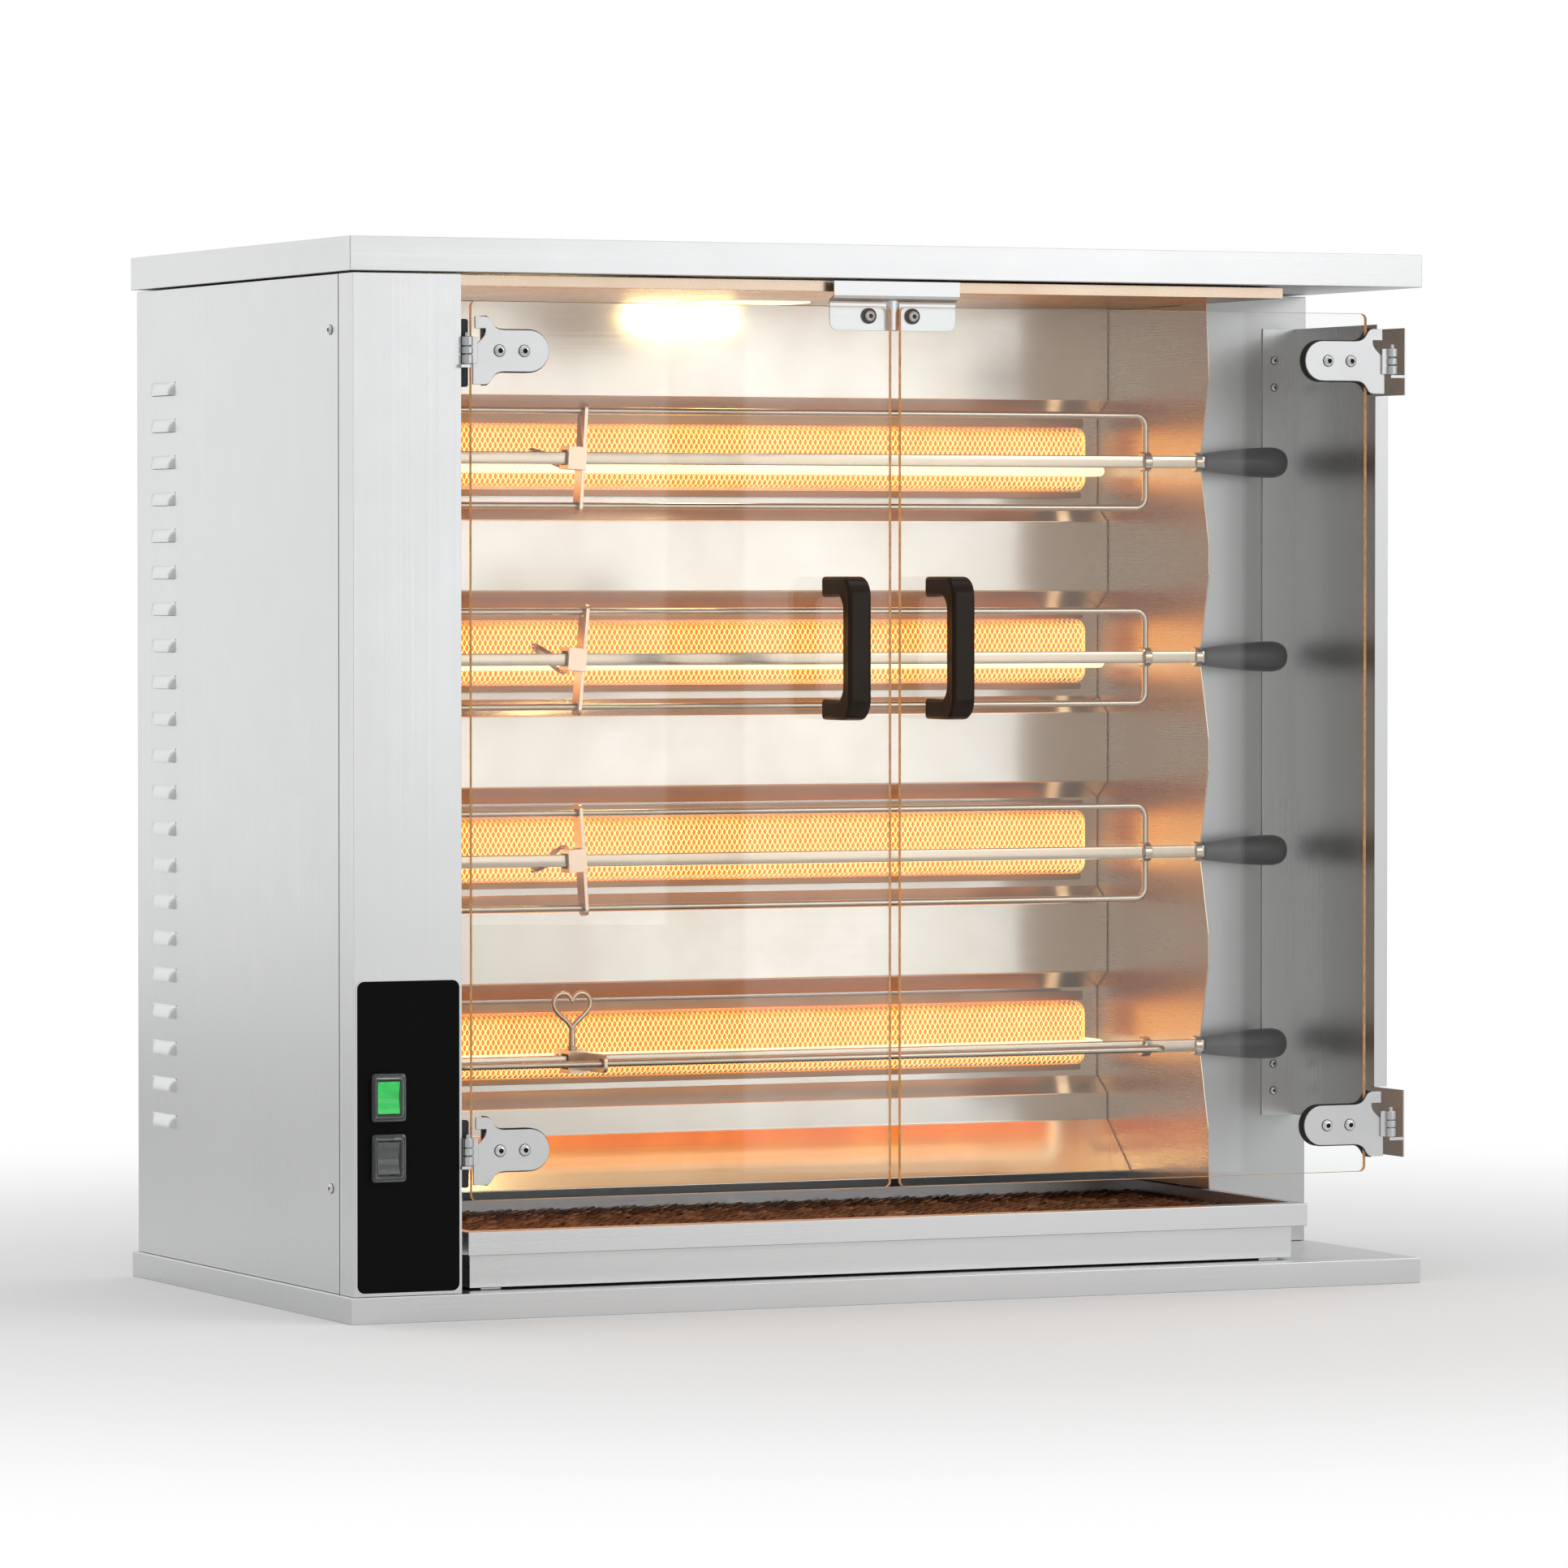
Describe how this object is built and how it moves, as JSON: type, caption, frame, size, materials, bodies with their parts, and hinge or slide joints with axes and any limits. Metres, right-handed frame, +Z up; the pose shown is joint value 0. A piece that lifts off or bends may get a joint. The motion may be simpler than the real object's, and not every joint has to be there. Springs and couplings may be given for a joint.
{
  "type": "rotisserie oven",
  "caption": "Countertop rotisserie oven: steel cabinet with stacked driven spits, glowing rear heaters, two glass doors, a control column and a pull-out drip tray.",
  "frame": {"origin": "bottom centre of the whole box at rest, on the surface that the base stands on", "axes": "+X to the right seen from the doors, +Y to the back, +Z up"},
  "size_m": [0.96, 0.567, 0.86],
  "materials": {
    "casing_steel": "brushed, satin",
    "chamber_steel": "bright, lightly brushed",
    "hinge_steel": "satin",
    "spit_steel": "bright drawn wire and bar",
    "glowing_mesh": "red-hot expanded metal",
    "glowing_rod": "glowing heating rod",
    "door_glass": "clear toughened glass",
    "black_plastic": "fine matt grain",
    "green_rocker": "lit translucent plastic",
    "clear_rocker": "unlit translucent plastic",
    "grid_steel": "browned steel"
  },
  "bodies": {
    "cabinet": {"base_plate": "casing_steel", "roof_panel": "casing_steel", "left_side_panel": "casing_steel", "front_column": "casing_steel", "rear_panel": "casing_steel", "right_casing": "casing_steel", "cable_gland": "black_plastic", "chamber_left_wall": "chamber_steel", "chamber_right_wall": "chamber_steel", "back_reflector": "chamber_steel", "chamber_ceiling": "chamber_steel", "lamp_glass": "door_glass", "heater_mesh_1": "glowing_mesh", "heater_mesh_2": "glowing_mesh", "heater_mesh_3": "glowing_mesh", "heater_mesh_4": "glowing_mesh", "heater_rod_1": "glowing_rod", "heater_rod_2": "glowing_rod", "heater_rod_3": "glowing_rod", "heater_rod_4": "glowing_rod", "drive_chain": "hinge_steel", "gear_motor": "hinge_steel", "door_stop": "hinge_steel", "hinge_post": "hinge_steel", "control_label": "black_plastic", "upper_switch_body": "black_plastic", "lower_switch_body": "black_plastic"},
    "left_door": {"left_door_glass": "door_glass", "left_door_handle": "black_plastic", "left_hinge_top": "hinge_steel", "left_hinge_bottom": "hinge_steel"},
    "right_door": {"right_door_glass": "door_glass", "right_door_handle": "black_plastic", "right_hinge_top": "hinge_steel", "right_hinge_bottom": "hinge_steel"},
    "drip_tray": {"drip_tray": "casing_steel", "drip_grid_left": "grid_steel", "drip_grid_right": "grid_steel"},
    "upper_rocker": {"upper_rocker": "green_rocker"},
    "lower_rocker": {"lower_rocker": "clear_rocker"},
    "drive_1": {"drive_sprocket_1": "hinge_steel"},
    "spit_1": {"spit_1": "spit_steel", "spit_handle_1": "black_plastic"},
    "clamp_1": {"spit_clamp_1": "spit_steel"},
    "clamp_screw_1": {"clamp_screw_1": "spit_steel"},
    "drive_2": {"drive_sprocket_2": "hinge_steel"},
    "spit_2": {"spit_2": "spit_steel", "spit_handle_2": "black_plastic"},
    "clamp_2": {"spit_clamp_2": "spit_steel"},
    "clamp_screw_2": {"clamp_screw_2": "spit_steel"},
    "drive_3": {"drive_sprocket_3": "hinge_steel"},
    "spit_3": {"spit_3": "spit_steel", "spit_handle_3": "black_plastic"},
    "clamp_3": {"spit_clamp_3": "spit_steel"},
    "clamp_screw_3": {"clamp_screw_3": "spit_steel"},
    "drive_4": {"drive_sprocket_4": "hinge_steel"},
    "spit_4": {"spit_4": "spit_steel", "spit_handle_4": "black_plastic"},
    "clamp_4": {"spit_clamp_4": "spit_steel"},
    "clamp_screw_4": {"clamp_screw_4": "spit_steel"}
  },
  "joints": [
    {"name": "left_door_swing", "type": "hinge", "parent": "cabinet", "child": "left_door", "pos_m": [-0.3798, -0.2325, 0.45], "axis": [0, 0, 1], "range_deg": [-120, 0]},
    {"name": "right_door_swing", "type": "hinge", "parent": "cabinet", "child": "right_door", "pos_m": [0.452, -0.2325, 0.45], "axis": [0, 0, 1], "range_deg": [0, 120]},
    {"name": "drip_tray_slide", "type": "slide", "parent": "cabinet", "child": "drip_tray", "axis": [0, -1, 0], "range_m": [0, 0.3]},
    {"name": "upper_rocker_tilt", "type": "hinge", "parent": "cabinet", "child": "upper_rocker", "pos_m": [-0.4474, -0.2275, 0.179], "axis": [1, 0, 0], "range_deg": [-6, 6]},
    {"name": "lower_rocker_tilt", "type": "hinge", "parent": "cabinet", "child": "lower_rocker", "pos_m": [-0.4474, -0.2275, 0.131], "axis": [1, 0, 0], "range_deg": [-6, 6]},
    {"name": "spit_1_turn", "type": "hinge", "parent": "cabinet", "child": "drive_1", "pos_m": [-0.38, -0.0635, 0.6885], "axis": [1, 0, 0], "continuous": true},
    {"name": "spit_1_pull", "type": "slide", "parent": "drive_1", "child": "spit_1", "axis": [1, 0, 0], "range_m": [0, 0.018]},
    {"name": "clamp_1_slide", "type": "slide", "parent": "spit_1", "child": "clamp_1", "axis": [1, 0, 0], "range_m": [-0.1, 0.5]},
    {"name": "clamp_screw_1_turn", "type": "hinge", "parent": "clamp_1", "child": "clamp_screw_1", "pos_m": [-0.2192, -0.0635, 0.68859], "axis": [0, 1, 0], "continuous": true},
    {"name": "spit_2_turn", "type": "hinge", "parent": "cabinet", "child": "drive_2", "pos_m": [-0.38, -0.0635, 0.5235], "axis": [1, 0, 0], "continuous": true},
    {"name": "spit_2_pull", "type": "slide", "parent": "drive_2", "child": "spit_2", "axis": [1, 0, 0], "range_m": [0, 0.018]},
    {"name": "clamp_2_slide", "type": "slide", "parent": "spit_2", "child": "clamp_2", "axis": [1, 0, 0], "range_m": [-0.1, 0.5]},
    {"name": "clamp_screw_2_turn", "type": "hinge", "parent": "clamp_2", "child": "clamp_screw_2", "pos_m": [-0.21919, -0.0635, 0.52363], "axis": [0, 1, 0], "continuous": true},
    {"name": "spit_3_turn", "type": "hinge", "parent": "cabinet", "child": "drive_3", "pos_m": [-0.38, -0.0635, 0.3585], "axis": [1, 0, 0], "continuous": true},
    {"name": "spit_3_pull", "type": "slide", "parent": "drive_3", "child": "spit_3", "axis": [1, 0, 0], "range_m": [0, 0.018]},
    {"name": "clamp_3_slide", "type": "slide", "parent": "spit_3", "child": "clamp_3", "axis": [1, 0, 0], "range_m": [-0.1, 0.5]},
    {"name": "clamp_screw_3_turn", "type": "hinge", "parent": "clamp_3", "child": "clamp_screw_3", "pos_m": [-0.2192, -0.0635, 0.3584], "axis": [0, 1, 0], "continuous": true},
    {"name": "spit_4_turn", "type": "hinge", "parent": "cabinet", "child": "drive_4", "pos_m": [-0.38, -0.0635, 0.1935], "axis": [1, 0, 0], "continuous": true},
    {"name": "spit_4_pull", "type": "slide", "parent": "drive_4", "child": "spit_4", "axis": [1, 0, 0], "range_m": [0, 0.018]},
    {"name": "clamp_4_slide", "type": "slide", "parent": "spit_4", "child": "clamp_4", "axis": [1, 0, 0], "range_m": [-0.1, 0.5]},
    {"name": "clamp_screw_4_turn", "type": "hinge", "parent": "clamp_4", "child": "clamp_screw_4", "pos_m": [-0.2192, -0.0636, 0.1935], "axis": [0, 0, 1], "continuous": true}
  ],
  "couplings": [
    {"joint": "spit_1_turn", "follows": "spit_4_turn", "ratio": 1},
    {"joint": "spit_2_turn", "follows": "spit_4_turn", "ratio": 1},
    {"joint": "spit_3_turn", "follows": "spit_4_turn", "ratio": 1}
  ]
}
